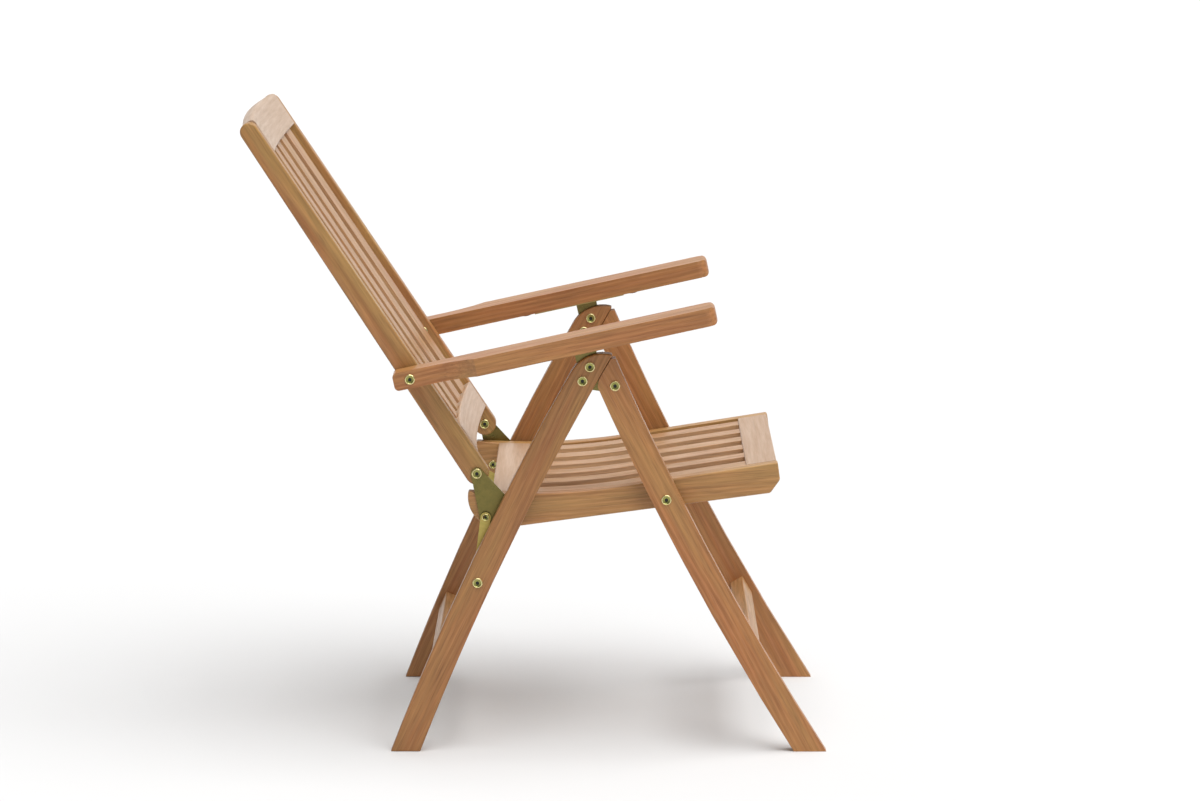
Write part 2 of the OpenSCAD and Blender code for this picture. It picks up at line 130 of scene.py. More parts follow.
def add_node(
    tree: bpy.types.NodeTree,
    kind: str,
    settings: Optional[dict[str, Any]] = None,
    links: Optional[dict[Any, bpy.types.NodeSocket]] = None,
) -> bpy.types.Node:
    """Adds one shader node with its settings and its incoming links.

    Args:
        tree: The node tree it goes into.
        kind: The node's type name.
        settings: Property names, or input names and numbers, with their values.
        links: Input names or numbers, with the output sockets that feed them.

    Returns:
        The new node.
    """
    node = tree.nodes.new(kind)
    for key, value in (settings or {}).items():
        if isinstance(key, str) and hasattr(node, key):
            setattr(node, key, value)
        else:
            node.inputs[key].default_value = value
    for key, socket in (links or {}).items():
        tree.links.new(socket, node.inputs[key])
    return node


def set_ramp(node: bpy.types.Node, stops: list[tuple[float, str]]) -> None:
    """Gives a colour ramp its stops.

    Args:
        node: The ramp node.
        stops: Positions from 0 to 1 with their sRGB hex colours.
    """
    ramp = node.color_ramp
    while len(ramp.elements) < len(stops):
        ramp.elements.new(0.5)
    for element, (place, colour) in zip(ramp.elements, stops):
        element.position = place
        element.color = linear(colour)


@dataclass(frozen=True)
class Teak:
    """Plain-sawn teak, planed, eased and oiled once: straight warm grain, fine dark pores, a soft sheen."""

    pale: str = "C08355"
    warm: str = "A86A3A"
    dark: str = "854C27"
    gold: str = "B0824B"
    ring_mm: float = 7.0
    ring_share: float = 0.5
    pore_mm: float = 1.1
    depth: float = 1.0
    roughness: float = 0.42

    def dress(self, name: str, run: Run, seed: int) -> bpy.types.Material:
        """Makes the finish for one member, with its own cut from the log.

        Args:
            name: The material's name.
            run: Which way the member's grain runs.
            seed: Picks the place in the log that the member was cut from.

        Returns:
            The material.
        """
        material = bpy.data.materials.new(name)
        material.use_nodes = True
        tree = material.node_tree
        tree.nodes.clear()
        turn = (0.0, 0.0, -math.pi / 2) if run is Run.ACROSS else (0.0, math.radians(run.value), 0.0)
        off = [((seed * step) % 17) / 17 for step in (5, 7, 11)]
        where = add_node(tree, "ShaderNodeTexCoord").outputs["Object"]
        grain = add_node(
            tree,
            "ShaderNodeMapping",
            {"Rotation": turn, "Location": (off[0] * 3, 0.05 + off[1] * 0.12, 0.04 + off[2] * 0.14)},
            {"Vector": where},
        ).outputs["Vector"]
        # the log's heart wanders by some millimetres along a board, which draws the flames
        wander = add_node(
            tree,
            "ShaderNodeTexNoise",
            {"Scale": 2.4, "Detail": 1.0, "Roughness": 0.4},
            {"Vector": self._stretched(tree, grain, (1.0, 2.2, 2.2))},
        ).outputs["Color"]
        shifted = add_node(
            tree,
            "ShaderNodeVectorMath",
            {"operation": "MULTIPLY_ADD", 1: (0.0, 0.03, 0.03)},
            {0: wander, 2: grain},
        ).outputs["Vector"]
        # growth rings: the wave's own period is a tenth of pi at scale 1
        rings = add_node(
            tree,
            "ShaderNodeTexWave",
            {
                "wave_type": "RINGS",
                "rings_direction": "X",
                "wave_profile": "SIN",
                "Scale": math.pi / 10 / (self.ring_mm * MM),
                "Distortion": 1.2,
                "Detail": 2.0,
                "Detail Scale": 1.5,
            },
            {"Vector": self._stretched(tree, shifted, (0.12, 1.0, 1.0))},
        ).outputs["Fac"]
        # a slow swell hides the rings in some places, as they do where a board is cut along them
        swell = add_node(
            tree,
            "ShaderNodeTexNoise",
            {"Scale": 1.0, "Detail": 2.0},
            {"Vector": self._stretched(tree, grain, (2.5, 45.0, 45.0))},
        ).outputs["Fac"]
        shown = add_node(
            tree, "ShaderNodeMapRange", {1: 0.35, 2: 0.7, 3: 0.15, 4: self.ring_share}, {"Value": swell}
        ).outputs["Result"]
        soft = add_node(
            tree, "ShaderNodeMix", {"data_type": "FLOAT", 2: 0.3}, {0: shown, 3: rings}
        ).outputs[0]
        figure = add_node(tree, "ShaderNodeValToRGB", links={"Fac": soft})
        set_ramp(figure, [(0.0, self.pale), (0.45, self.warm), (0.8, self.warm), (1.0, self.dark)])
        cloud = add_node(
            tree,
            "ShaderNodeTexNoise",
            {"Scale": 1.0, "Detail": 3.0, "Roughness": 0.55},
            {"Vector": self._stretched(tree, grain, (3.0, 30.0, 30.0))},
        ).outputs["Fac"]
        share = add_node(
            tree, "ShaderNodeMapRange", {1: 0.36, 2: 0.66, 3: 0.05, 4: 0.8}, {"Value": cloud}
        ).outputs["Result"]
        toned = add_node(
            tree,
            "ShaderNodeMix",
            {"data_type": "RGBA", 7: linear(self.gold)},
            {0: share, 6: figure.outputs["Color"]},
        ).outputs[2]
        broad = add_node(
            tree,
            "ShaderNodeTexNoise",
            {"Scale": 1.0, "Detail": 4.0, "Roughness": 0.6},
            {"Vector": self._stretched(tree, grain, (9.0, 190.0, 190.0))},
        ).outputs["Fac"]
        streak = add_node(
            tree,
            "ShaderNodeMapRange",
            {1: 0.34, 2: 0.7, 3: 1 - 0.2 * self.depth, 4: 1 + 0.14 * self.depth},
            {"Value": broad},
        ).outputs["Result"]
        pores_per_metre = 1 / (self.pore_mm * MM)
        pores = add_node(
            tree,
            "ShaderNodeTexNoise",
            {"Scale": 1.0, "Detail": 2.0, "Roughness": 0.5},
            {"Vector": self._stretched(tree, grain, (26.0, pores_per_metre, pores_per_metre))},
        ).outputs["Fac"]
        pitted = add_node(
            tree, "ShaderNodeMapRange", {1: 0.3, 2: 0.48, 3: 1 - 0.28 * self.depth, 4: 1.0}, {"Value": pores}
        ).outputs["Result"]
        shade = add_node(
            tree, "ShaderNodeMath", {"operation": "MULTIPLY"}, {0: streak, 1: pitted}
        ).outputs["Value"]
        colour = add_node(
            tree, "ShaderNodeVectorMath", {"operation": "SCALE"}, {0: toned, "Scale": shade}
        ).outputs["Vector"]
        rough = add_node(
            tree,
            "ShaderNodeMapRange",
            {1: 0.3, 2: 0.7, 3: self.roughness + 0.1, 4: self.roughness - 0.06},
            {"Value": broad},
        ).outputs["Result"]
        bump = add_node(
            tree, "ShaderNodeBump", {"Strength": 0.22, "Distance": 0.0004}, {"Height": pitted}
        ).outputs["Normal"]
        shader = add_node(
            tree,
            "ShaderNodeBsdfPrincipled",
            {"IOR": 1.5, "Specular IOR Level": 0.5},
            {"Base Color": colour, "Roughness": rough, "Normal": bump},
        )
        add_node(tree, "ShaderNodeOutputMaterial", links={"Surface": shader.outputs["BSDF"]})
        return material

    @staticmethod
    def _stretched(
        tree: bpy.types.NodeTree, vector: bpy.types.NodeSocket, by: tuple[float, float, float]
    ) -> bpy.types.NodeSocket:
        """Stretches a pattern's coordinates along the grain and across it.

        Args:
            tree: The node tree.
            vector: The coordinates, with X along the grain.
            by: Factors along, across and across.

        Returns:
            The stretched coordinates.
        """
        node = add_node(tree, "ShaderNodeVectorMath", {"operation": "MULTIPLY", 1: by}, {0: vector})
        return node.outputs["Vector"]


@dataclass(frozen=True)
class PassivatedSteel:
    """Zinc-plated steel with a yellow chromate film: pale brass, a faint green cast, a cloudy sheen."""

    colour: str = "CDBB7C"
    shaded: str = "ADA169"
    roughness: float = 0.34

    def dress(self, name: str) -> bpy.types.Material:
        """Makes the plated finish.

        Args:
            name: The material's name.

        Returns:
            The material.
        """
        material = bpy.data.materials.new(name)
        material.use_nodes = True
        tree = material.node_tree
        tree.nodes.clear()
        where = add_node(tree, "ShaderNodeTexCoord").outputs["Object"]
        # the film dries in clouds of about 9 mm
        cloud = add_node(
            tree, "ShaderNodeTexNoise", {"Scale": 110.0, "Detail": 4.0, "Roughness": 0.55}, {"Vector": where}
        ).outputs["Fac"]
        film = add_node(tree, "ShaderNodeValToRGB", links={"Fac": cloud})
        set_ramp(film, [(0.25, self.shaded), (0.75, self.colour)])
        # rolling lines of half a millimetre
        drawn = add_node(
            tree,
            "ShaderNodeVectorMath",
            {"operation": "MULTIPLY", 1: (60.0, 2000.0, 2000.0)},
            {0: where},
        ).outputs["Vector"]
        lines = add_node(
            tree, "ShaderNodeTexNoise", {"Scale": 1.0, "Detail": 2.0}, {"Vector": drawn}
        ).outputs["Fac"]
        rough = add_node(
            tree,
            "ShaderNodeMapRange",
            {1: 0.3, 2: 0.7, 3: self.roughness - 0.06, 4: self.roughness + 0.12},
            {"Value": cloud},
        ).outputs["Result"]
        bump = add_node(
            tree, "ShaderNodeBump", {"Strength": 0.08, "Distance": 0.0001}, {"Height": lines}
        ).outputs["Normal"]
        shader = add_node(
            tree,
            "ShaderNodeBsdfPrincipled",
            {"Metallic": 1.0},
            {"Base Color": film.outputs["Color"], "Roughness": rough, "Normal": bump},
        )
        add_node(tree, "ShaderNodeOutputMaterial", links={"Surface": shader.outputs["BSDF"]})
        return material


@dataclass(frozen=True)
class SocketShade:
    """Painted shade for the bottom of a deep socket: nearly black, with a weak gloss."""

    colour: str = "1C1A12"
    roughness: float = 0.55

    def dress(self, name: str) -> bpy.types.Material:
        """Makes the painted socket shade.

        Args:
            name: The material's name.

        Returns:
            The material.
        """
        material = bpy.data.materials.new(name)
        material.use_nodes = True
        tree = material.node_tree
        tree.nodes.clear()
        where = add_node(tree, "ShaderNodeTexCoord").outputs["Object"]
        # a noise of about a millimetre varies the painted shade's darkness
        grain = add_node(tree, "ShaderNodeTexNoise", {"Scale": 1000.0, "Detail": 2.0}, {"Vector": where})
        tone = add_node(tree, "ShaderNodeValToRGB", links={"Fac": grain.outputs["Fac"]})
        set_ramp(tone, [(0.3, "0E0D09"), (0.7, self.colour)])
        shader = add_node(
            tree,
            "ShaderNodeBsdfPrincipled",
            {"Roughness": self.roughness, "Metallic": 0.0},
            {"Base Color": tone.outputs["Color"]},
        )
        add_node(tree, "ShaderNodeOutputMaterial", links={"Surface": shader.outputs["BSDF"]})
        return material


def deselect() -> None:
    """Leaves edit mode and deselects every object."""
    if bpy.context.object is not None and bpy.context.object.mode != "OBJECT":
        bpy.ops.object.mode_set(mode="OBJECT")
    bpy.ops.object.select_all(action="DESELECT")


def pick(obj: bpy.types.Object) -> None:
    """Makes one object the only selected one, and the active one."""
    deselect()
    obj.select_set(True)
    bpy.context.view_layer.objects.active = obj


def apply_modifier(obj: bpy.types.Object, kind: str, **settings: Any) -> None:
    """Adds a modifier with its settings and applies it.

    Args:
        obj: The piece.
        kind: The modifier's type name.
        **settings: The modifier's properties.
    """
    pick(obj)
    modifier = obj.modifiers.new(kind.lower(), kind)
    for key, value in settings.items():
        setattr(modifier, key, value)
    bpy.ops.object.modifier_apply(modifier=modifier.name)


def settle(obj: bpy.types.Object) -> bpy.types.Object:
    """Puts a piece's place into its mesh, so its object sits at the origin, unturned and unscaled."""
    pick(obj)
    bpy.ops.object.transform_apply(location=True, rotation=True, scale=True)
    return obj


def joined(parts: list[bpy.types.Object], name: str) -> bpy.types.Object:
    """Joins several meshes into one piece.

    Args:
        parts: The meshes; the first one is kept.
        name: The piece's name.

    Returns:
        The joined piece.
    """
    deselect()
    for part in parts:
        part.select_set(True)
    bpy.context.view_layer.objects.active = parts[0]
    bpy.ops.object.join()
    piece = bpy.context.object
    piece.name = name
    piece.data.name = name
    return piece


def ease_edges(
    obj: bpy.types.Object, radius: float, wanted: Callable[[bmesh.types.BMEdge], bool], steps: int = 3
) -> None:
    """Rounds a mesh's sharp edges.

    Args:
        obj: The piece.
        radius: The rounding, in metres.
        wanted: Says which of the sharp edges are rounded.
        steps: How many faces make the rounding.
    """
    mesh = bmesh.new()
    mesh.from_mesh(obj.data)
    layers = mesh.edges.layers.float
    weight = layers.get("bevel_weight_edge") or layers.new("bevel_weight_edge")
    for edge in mesh.edges:
        sharp = len(edge.link_faces) == 2 and edge.calc_face_angle(0.0) > math.radians(SHARP_DEG)
        edge[weight] = 1.0 if sharp and wanted(edge) else 0.0
    mesh.to_mesh(obj.data)
    mesh.free()
    apply_modifier(
        obj,
        "BEVEL",
        width=radius,
        segments=steps,
        limit_method="WEIGHT",
        use_clamp_overlap=True,
        profile=0.5,
    )
    pick(obj)
    bpy.ops.object.shade_smooth_by_angle(angle=math.radians(SMOOTH_DEG))
    apply_modifier(obj, "WEIGHTED_NORMAL", keep_sharp=True)


@dataclass
class Workshop:
    """Keeps the frame and turns its solids into finished pieces."""

    frame: dict[str, Any]
    made: int = 0
    bores: list[Vector] = field(default_factory=list)

    def pivot(self, joint: str) -> Vector:
        """A joint's place in the row frame.

        Args:
            joint: The joint's name.

        Returns:
            Its position, in metres.
        """
        found = [j for j in self.frame["joints"] if j["name"] == joint]
        return Vector(found[0]["pos_m"])

    def pivots(self) -> list[Vector]:
        """Every joint's place."""
        return [Vector(j["pos_m"]) for j in self.frame["joints"]]

    def from_solid(self, node: str, name: str) -> bpy.types.Object:
        """Copies a solid as a clean mesh with whole flat faces.

        Args:
            node: The solid's name.
            name: The new piece's name.

        Returns:
            The copy, at the origin.
        """
        mesh = self.frame["nodes"][node].data.copy()
        mesh.name = name
        mesh.materials.clear()
        obj = bpy.data.objects.new(name, mesh)
        bpy.context.scene.collection.objects.link(obj)
        pick(obj)
        bpy.ops.mesh.customdata_custom_splitnormals_clear()
        bpy.ops.object.mode_set(mode="EDIT")
        bpy.ops.mesh.select_all(action="SELECT")
        bpy.ops.mesh.remove_doubles(threshold=0.00006)
        bpy.ops.mesh.dissolve_limited(angle_limit=math.radians(1.0))
        bpy.ops.object.mode_set(mode="OBJECT")
        return obj

    def hand_over(
        self, piece: bpy.types.Object, body: str, slot: str, finish: bpy.types.Material, *nodes: str
    ) -> bpy.types.Object:
        """Dresses a finished piece and fixes it to its body.

        Args:
            piece: The piece.
            body: The body that it rides on.
            slot: The record's material slot; not used.
            finish: Its material.
            *nodes: The solids that it stands for.

        Returns:
            The piece.
        """
        if not piece.data.materials:
            piece.data.materials.append(finish)
        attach(piece, body)
        if nodes:
            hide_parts(*nodes)
        self.made += 1
        LOG.info("%s rides on %s, %d faces", piece.name, body, len(piece.data.polygons))
        return piece

    def timber(
        self,
        node: str,
        body: str,
        run: Run,
        teak: Teak,
        radius_mm: float = 2.6,
        wanted: Optional[Callable[[bmesh.types.BMEdge], bool]] = None,
        slot: str = "teak_frame",
        rounder: Optional[tuple[float, Callable[[bmesh.types.BMEdge], bool]]] = None,
    ) -> bpy.types.Object:
        """Makes a wooden member with eased edges from its solid.

        Args:
            node: The solid's name.
            body: Its body.
            run: Its grain's direction.
            teak: Its finish.
            radius_mm: The rounding of its edges.
            wanted: Which sharp edges are rounded; by default those away from the bores.
            slot: The record's material slot.
            rounder: A larger rounding, and the edges that get it first.

        Returns:
            The member.
        """
        piece = self.from_solid(node, f"{node}_teak")
        if rounder:
            ease_edges(piece, rounder[0] * MM, rounder[1], 6)
        ease_edges(piece, radius_mm * MM, wanted or self.clear_of_bores)
        seed = self.made * 3 + 1
        return self.hand_over(piece, body, slot, teak.dress(f"oiled_teak_{node}", run, seed), node)

    def clear_of_bores(self, edge: bmesh.types.BMEdge) -> bool:
        """Says whether an edge is none of a bore's, and not in a saw kerf."""
        middle = (edge.verts[0].co + edge.verts[1].co) / 2
        if abs(abs(middle.y) - (LEG_IN + LEG_OUT) / 2 * MM) < KERF_CLEAR_MM * MM:
            return False
        if not self.bores:
            self.bores = self.pivots() + Fasteners.extra_spots()
        clear = BORE_CLEAR_MM * MM
        return all(math.hypot(middle.x - p.x, middle.z - p.z) > clear for p in self.bores)


@dataclass
class Legs:
    """The two pairs of bowed legs with their stretchers and apex plates."""

    shop: Workshop
    teak: Teak = field(default_factory=Teak)
    rear_teak: Teak = field(default_factory=lambda: Teak("B27A4E", "9C6237", "784424", "A57A45"))
    stretcher_teak: Teak = field(default_factory=lambda: Teak(pale="C79C72", warm="B38256", dark="8F5F37"))
    # a darker olive copy of the plating: painted shade for the dark surroundings that the plate reflects
    steel: PassivatedSteel = field(default_factory=lambda: PassivatedSteel("8F8250", "70683F", 0.3))

    def build(self) -> None:
        """Builds and dresses the legs, stretchers and plates."""
        for side in Side:
            hand = side.name.lower()
            self.shop.timber(f"rear_leg_{hand}", "rear_legs", Run.REAR_LEG, self.rear_teak)
            self.shop.timber(
                f"front_leg_{hand}", "front_legs", Run.FRONT_LEG, self.teak, wanted=self._not_mitred
            )
            plate = self.shop.from_solid(f"apex_plate_{hand}", f"apex_plate_{hand}_steel")
            ease_edges(plate, 0.4 * MM, lambda edge: True, 2)
            finish = self.steel.dress(f"passivated_steel_apex_{hand}")
            self.shop.hand_over(plate, "rear_legs", "hardware", finish, f"apex_plate_{hand}")
        for pair in ("rear", "front"):
            node, body = f"{pair}_stretcher", f"{pair}_legs"
            self.shop.timber(node, body, Run.ACROSS, self.stretcher_teak, 2.0, runs_across, "teak_cross")

    def _not_mitred(self, edge: bmesh.types.BMEdge) -> bool:
        """Says whether an edge is clear of the bores and of the crisp cut that rests on the rear leg."""
        cut = any(face.normal.x < -0.7 and face.normal.z > 0.1 for face in edge.link_faces)
        return not cut and self.shop.clear_of_bores(edge)


def runs_across(edge: bmesh.types.BMEdge) -> bool:
    """Says whether an edge runs across the chair and is a board's whole edge."""
    span = edge.verts[1].co - edge.verts[0].co
    return abs(span.y) > 0.1 and abs(span.y) > 0.95 * span.length


@dataclass
class Seat:
    """The dished seat: side rails, cross rails, slats and the brackets behind."""

    shop: Workshop
    teak: Teak = field(default_factory=lambda: Teak("C08B5C", "A8713F", "85502A", "B48C53"))
    # paler, greyer teak with faint figure: painted sheen, the whitish grazing reflection on the cross rails
    cross_teak: Teak = field(
        default_factory=lambda: Teak(
            "BA9D83", "AE8D70", "8F7154", "B39376", ring_mm=9.0, ring_share=0.9, depth=0.35
        )
    )
    slat_teak: Teak = field(default_factory=lambda: Teak("BF9874", "AF825C", "815635", "B58D63"))
    # a darker olive copy of the plating: painted shade for the dark surroundings that the bracket reflects
    steel: PassivatedSteel = field(default_factory=lambda: PassivatedSteel("8A7D49", "6C653B", 0.3))

    def build(self) -> None:
        """Builds and dresses the seat."""
        for side in Side:
            hand = side.name.lower()
            self.shop.timber(f"seat_rail_{hand}", "seat", Run.SEAT, self.teak)
            bracket = self.shop.from_solid(f"bracket_{hand}", f"bracket_{hand}_steel")
            ease_edges(bracket, 0.35 * MM, lambda edge: True, 2)
            finish = self.steel.dress(f"passivated_steel_bracket_{hand}")
            self.shop.hand_over(bracket, "seat", "hardware", finish, f"bracket_{hand}")
        for rail in ("seat_front_rail", "seat_rear_rail"):
            self.shop.timber(rail, "seat", Run.ACROSS, self.cross_teak, 2.0, runs_across, "teak_cross")
        for number in range(1, 7):
            self.shop.timber(
                f"seat_slat_{number}", "seat", Run.SEAT, self.slat_teak, 0.9, lambda edge: True, "teak_cross"
            )


@dataclass
class Back:
    """The leaning back: tapered stiles, dished rails and slats between them."""

    shop: Workshop
    teak: Teak = field(default_factory=lambda: Teak("B88252", "A06839", "7F4C28", "AE894D"))
    # paler, greyer teak with faint figure: painted sheen, the whitish grazing reflection on the dished rails
    cross_teak: Teak = field(
        default_factory=lambda: Teak(
            "BCA48E", "B4987F", "987C62", "B89C83", ring_mm=9.0, ring_share=0.8, depth=0.3
        )
    )
    slat_teak: Teak = field(default_factory=lambda: Teak("BC936B", "AA7A53", "7D5231", "B0895A"))

    def build(self) -> None:
        """Builds and dresses the back."""
        for side in Side:
            self.shop.timber(f"back_stile_{side.name.lower()}", "back", Run.BACK, self.teak)
        for rail, crowned in (("back_top_rail", 7.0), ("back_bottom_rail", 1.8)):
            rounder = (crowned, self._crowning)
            self.shop.timber(rail, "back", Run.ACROSS, self.cross_teak, 1.8, on_dish, "teak_cross", rounder)
        for number in range(1, 6):
            self.shop.timber(
                f"back_slat_{number}", "back", Run.BACK, self.slat_teak, 0.9, lambda edge: True, "teak_cross"
            )

    def _crowning(self, edge: bmesh.types.BMEdge) -> bool:
        """Says whether an edge is one of the two long ones on a dished rail's top."""
        lean = math.radians(Run.BACK.value)
        heights = [v.co.x * math.cos(lean) + v.co.z * math.sin(lean) for v in edge.verts]
        low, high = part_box("back_top_rail")
        top = low.x * math.cos(lean) + high.z * math.sin(lean)
        band = 22 * MM
        return on_dish(edge) and min(heights) > top - band


def on_dish(edge: bmesh.types.BMEdge) -> bool:
    """Says whether an edge is a long one of a dished rail, and none of its mortises."""
    span = edge.verts[1].co - edge.verts[0].co
    if abs(span.y) < 0.9 * span.length:
        return False
    # a mortise's faces are all under a square centimetre
    return all(face.calc_area() > 0.0001 for face in edge.link_faces)


@dataclass
class Arms:
    """The armrests, each with its notched rack and lens-shaped pads underneath."""

    shop: Workshop
    teak: Teak = field(default_factory=lambda: Teak(pale="BD8153", warm="A4683A"))
    # a much darker teak for the pads under the arm: painted shade
    pad: Teak = field(default_factory=lambda: Teak("8A5A3A", "6B4026", "4A2A18", "7A4E30"))
    steel: PassivatedSteel = field(default_factory=PassivatedSteel)

    def build(self) -> None:
        """Builds and dresses the armrests."""
        pivot = self.shop.pivot("arm_fold")
        tilt = math.radians(Run.ARM.value)
        reach = (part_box("armrest_left")[1].x - pivot.x) / math.cos(tilt) - 10 * MM

        def short_of_tip(edge: bmesh.types.BMEdge) -> bool:
            """Says whether an edge ends before the rounded tip, whose facets are too narrow to be eased."""
            off = [v.co - pivot for v in edge.verts]
            along = max(v.x * math.cos(tilt) + v.z * math.sin(tilt) for v in off)
            return along < reach and self.shop.clear_of_bores(edge)

        for side in Side:
            hand = side.name.lower()
            self.shop.timber(f"armrest_{hand}", "arms", Run.ARM, self.teak, 3.2, short_of_tip)
            rack = self.shop.from_solid(f"rack_{hand}", f"rack_{hand}_steel")
            ease_edges(rack, 0.3 * MM, lambda edge: edge.calc_length() > 0.004, 2)
            finish = self.steel.dress(f"passivated_steel_rack_{hand}")
            self.shop.hand_over(rack, "arms", "hardware", finish, f"rack_{hand}")
        self.shop.timber("rack_pads", "arms", Run.ARM, self.pad, 0.8, lambda edge: True, "pad")


@dataclass
class Fastener:
    """A bolt across the chair's side, with its heads, on both sides of the chair."""

    spot: Vector
    inner: float
    outer: float
    inner_head: float = 8.0
    outer_head: float = 8.0
    collar: Optional[tuple[float, float]] = None


@dataclass
class Fasteners:
    """Flanged socket bolts, the links they carry, and the brackets' screws."""

    shop: Workshop
    shank_mm: float = 4.0
    head_mm: float = 2.2
    steel: PassivatedSteel = field(default_factory=lambda: PassivatedSteel("EDE2AC", "D3C486", 0.26))
    # a darker olive copy of the bolts' plating: painted shade and reflection inside the head's cup
    cup_shade_steel: PassivatedSteel = field(default_factory=lambda: PassivatedSteel("A8A562", "83854A", 0.3))
    link_steel: PassivatedSteel = field(default_factory=lambda: PassivatedSteel("C9B56A", "A99A55"))
    # near-black painted shade for the deep hexagon holes of the heads
    socket_shade: SocketShade = field(default_factory=SocketShade)

    @staticmethod
    def extra_spots() -> list[Vector]:
        """The bores that are no joint's: the apex plate's two, the link's top and the bracket's screw."""
        # the apex bolts' box ends at the rims of their 16 mm flanges
        rim = 8 * MM
        low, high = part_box("apex_bolts")
        spots = [Vector((low.x + rim, 0, low.z + rim)), Vector((high.x - rim, 0, high.z - rim))]
        low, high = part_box("link_studs")
        spots.append((low + high) / 2)
        # the bracket's front screw has a 10 mm head and sits 6 mm above the link's top
        low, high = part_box("bracket_screws")
        spots.append(Vector((high.x - 5 * MM, 0, spots[2].z + 6 * MM)))
        return spots

    def build(self) -> None:
        """Builds and dresses every bolt, stud, screw and link."""
        low_apex, high_apex, link_top, screw = self.extra_spots()
        back = self.shop.pivot("back_fold")
        arm = self.shop.pivot("arm_fold")
        seat = self.shop.pivot("seat_swing")
        link = self.shop.pivot("link_swing")
        arm_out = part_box("arm_pivot_bolts")[1].y / MM - self.head_mm
        fold = Fastener(self.shop.pivot("fold"), LEG_IN, LEG_OUT)
        apex = [Fastener(spot, LEG_IN, LEG_OUT) for spot in (low_apex, high_apex)]
        screws = [
            Fastener(link_top, RAIL_IN, BRACKET_OUT, 7.0, 0.0),
            Fastener(screw, 215.0, BRACKET_OUT, 0.0, 0.0),
        ]
        sets = {
            "apex_bolts": ("rear_legs", apex),
            "fold_bolts": ("front_legs", [fold]),
            "link_pivot_bolts": ("rear_legs", [Fastener(link, LINK_PIVOT_IN, LEG_OUT, 7.0)]),
            "seat_pivot_bolts": (
                "front_legs",
                [Fastener(seat, PIVOT_BOLT_IN, LEG_OUT, collar=(RAIL_COLLAR, LEG_IN))],
            ),
            "back_pivot_bolts": ("back_pivot", [Fastener(back, PIVOT_BOLT_IN, BACK_HEAD)]),
            "arm_pivot_bolts": (
                "arm_pivot",
                [Fastener(arm, PIVOT_BOLT_IN, arm_out, collar=(STILE_COLLAR, ARM_COLLAR_END))],
            ),
            "bracket_screws": ("seat", screws),
            "link_studs": ("link", [Fastener(link_top, STUD_IN, STUD_OUT, 0.0, 6.0)]),
        }
        for node, (body, bolts) in sets.items():
            finish = self.steel.dress(f"passivated_steel_{node}")
            # the socket gets near-black painted shade, and the cup gets a darker copy of the plating as
            # painted shade and reflection
            socket = self.socket_shade.dress(f"black_oxide_{node}")
            cup = self.cup_shade_steel.dress(f"passivated_steel_cup_{node}")
            parts = [part for bolt in bolts for side in Side for part in self._bolt(bolt, side)]
            for part in parts:
                for material in (finish, socket, cup):
                    part.data.materials.append(material)
            piece = joined(parts, f"{node}_steel")
            self.shop.hand_over(piece, body, "hardware", finish, node)
        for side in Side:
            hand = side.name.lower()
            bar = self.shop.from_solid(f"link_{hand}", f"link_{hand}_steel")
            ease_edges(bar, 0.35 * MM, lambda edge: True, 2)
            finish = self.link_steel.dress(f"passivated_steel_link_{hand}")
            self.shop.hand_over(bar, "link", "hardware", finish, f"link_{hand}")

    def _bolt(self, bolt: Fastener, side: Side) -> list[bpy.types.Object]:
        """Models one bolt on one side.

        Args:
            bolt: Its sizes.
            side: The side of the chair.

        Returns:
            Its shank, heads and collar.
        """
        parts = [self._disc(bolt.spot, self.shank_mm, bolt.inner, bolt.outer, side, 0.0)]
        if bolt.outer_head:
            parts.append(self._head(bolt.spot, bolt.outer_head, bolt.outer, side, True))
        if bolt.inner_head:
            parts.append(self._head(bolt.spot, bolt.inner_head, bolt.inner, side, False))
        if bolt.collar:
            parts.append(self._disc(bolt.spot, 9.0, bolt.collar[0], bolt.collar[1], side, 0.3))
        if not bolt.outer_head and not bolt.inner_head:
            parts.append(self._disc(bolt.spot, 5.0, bolt.outer - 0.7, bolt.outer, side, 0.25))
        return parts

    def _disc(
        self, spot: Vector, radius: float, y0: float, y1: float, side: Side, ease: float
    ) -> bpy.types.Object:
        """Models a round bar or washer along the chair's width.

        Args:
            spot: Its axis.
            radius: Its radius in millimetres.
            y0: Its inner end, as a distance from the middle.
            y1: Its outer end.
            side: The side of the chair.
            ease: The rounding of its rims.

        Returns:
            The mesh.
        """
        deselect()
        bpy.ops.mesh.primitive_cylinder_add(
            vertices=40,
            radius=radius * MM,
            depth=(y1 - y0) * MM,
            location=(spot.x, side.value * (y0 + y1) / 2 * MM, spot.z),
            rotation=(math.pi / 2, 0, 0),
        )
        obj = settle(bpy.context.object)
        if ease:
            ease_edges(obj, ease * MM, lambda edge: True, 2)
        return obj

    def _head(self, spot: Vector, radius: float, y: float, side: Side, out: bool) -> bpy.types.Object:
        """Models a flanged head: a raised rim round a deep cup, with a hexagon socket at its bottom.

        Args:
            spot: The bolt's axis.
            radius: The flange's radius in millimetres.
            y: The face that the flange lies on, as a distance from the middle.
            side: The side of the chair.
            out: True if the head faces away from the chair's middle.

        Returns:
            The mesh.
        """
        deselect()
        bpy.ops.mesh.primitive_cylinder_add(
            vertices=48, radius=radius * MM, depth=1.2 * MM, end_fill_type="NGON"
        )
        obj = bpy.context.object
        obj.location.z = 0.6 * MM
        settle(obj)
        bpy.ops.object.mode_set(mode="EDIT")
        mesh = bmesh.from_edit_mesh(obj.data)
        mesh.faces.ensure_lookup_table()
        for face in mesh.faces:
            face.select = face.normal.z > 0.9
        bmesh.update_edit_mesh(obj.data)
        scale = radius / 8.0
